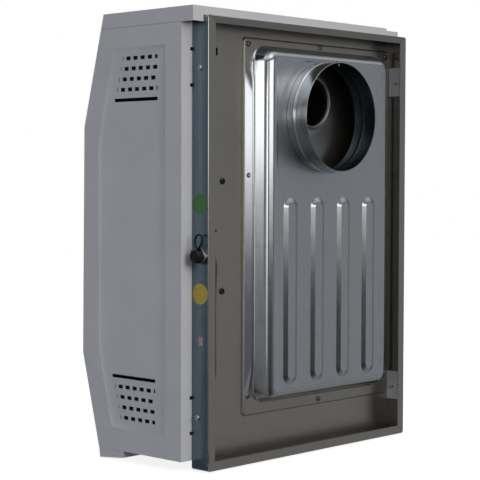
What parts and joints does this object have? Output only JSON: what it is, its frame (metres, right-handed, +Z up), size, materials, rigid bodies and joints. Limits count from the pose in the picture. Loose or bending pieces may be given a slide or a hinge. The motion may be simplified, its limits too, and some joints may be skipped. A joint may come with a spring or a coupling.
{
  "type": "wall mounted gas heater",
  "caption": "Wall mounted room-sealed gas heater with a vented casing, a back tray, a flue collar round an exhaust spigot, a gas inlet with a cap, and a turning control knob.",
  "frame": {"origin": "middle of the back tray's lower wall lip, on the wall plane", "axes": "+Y out of the heater's back into the wall, +Z up, +X towards the side with the gas inlet; the front faces -Y"},
  "size_m": [0.4908, 0.3043, 0.6498],
  "materials": {
    "zinc_sheet": "galvanised sheet with a faint spangle",
    "white_paint": "white powder coat, satin",
    "dark_enamel": "dark vitreous enamel",
    "bright_steel": "zinc-plated steel",
    "gasket_fibre": "dark heat-proof fibre",
    "brass": "machined brass",
    "copper": "drawn copper tube, dulled",
    "cast_alloy": "die-cast alloy",
    "black_plastic": "moulded, matt",
    "grey_plastic": "moulded, matt",
    "ceramic": "glazed ceramic",
    "glass": "clear heat-proof glass"
  },
  "bodies": {
    "heater": {"back_tray": "zinc_sheet", "air_box_gasket": "gasket_fibre", "air_box": "zinc_sheet", "flue_collar": "zinc_sheet", "collar_screw": "bright_steel", "exhaust_outlet": "bright_steel", "exhaust_duct": "bright_steel", "air_box_screw_1": "bright_steel", "air_box_screw_2": "bright_steel", "air_box_screw_3": "bright_steel", "air_box_screw_4": "bright_steel", "air_box_screw_5": "bright_steel", "air_box_screw_6": "bright_steel", "air_box_screw_7": "bright_steel", "air_box_screw_8": "bright_steel", "plate_screw_1": "bright_steel", "plate_screw_2": "bright_steel", "casing_screw_gas_side_1": "bright_steel", "casing_screw_gas_side_2": "bright_steel", "casing_screw_far_side_1": "bright_steel", "casing_screw_far_side_2": "bright_steel", "side_panel_gas_side": "white_paint", "side_panel_far_side": "white_paint", "front_panel": "white_paint", "top_cover": "white_paint", "bottom_fascia": "white_paint", "chamber_rear_shell": "dark_enamel", "chamber_front_shell": "dark_enamel", "chamber_baffle": "dark_enamel", "chamber_bracket_1": "zinc_sheet", "chamber_bracket_2": "zinc_sheet", "chamber_bracket_3": "zinc_sheet", "chamber_bracket_4": "zinc_sheet", "air_duct": "zinc_sheet", "heat_shield": "zinc_sheet", "sight_glass": "glass", "sight_glass_frame": "bright_steel", "burner_tube": "bright_steel", "burner_bracket": "bright_steel", "injector": "brass", "burner_feed_pipe": "copper", "pilot_burner": "brass", "pilot_tube": "copper", "thermocouple": "copper", "spark_electrode": "ceramic", "ignition_lead": "black_plastic", "gas_valve": "cast_alloy", "valve_bracket": "zinc_sheet", "control_bezel": "grey_plastic", "igniter_body": "black_plastic", "thermostat_bulb": "copper", "bulb_clip": "zinc_sheet", "inlet_fitting": "brass", "inlet_nut": "bright_steel", "gas_pipe": "copper"},
    "push_rod": {"valve_push_rod": "brass"},
    "knob": {"valve_spindle": "bright_steel", "control_knob": "black_plastic"},
    "button": {"igniter_button": "black_plastic"},
    "cap": {"inlet_cap": "black_plastic"}
  },
  "joints": [
    {"name": "knob_press", "type": "slide", "parent": "heater", "child": "push_rod", "axis": [0, 1, 0], "range_m": [0, 0.005], "stiffness_N_per_m": 600},
    {"name": "knob_turn", "type": "hinge", "parent": "push_rod", "child": "knob", "pos_m": [0.155, -0.2, 0.182], "axis": [0, -1, 0], "range_deg": [0, 240]},
    {"name": "button_press", "type": "slide", "parent": "heater", "child": "button", "axis": [0, 1, 0], "range_m": [0, 0.004], "stiffness_N_per_m": 500},
    {"name": "cap_pull", "type": "slide", "parent": "heater", "child": "cap", "axis": [1, 0, 0], "range_m": [0, 0.03]}
  ]
}
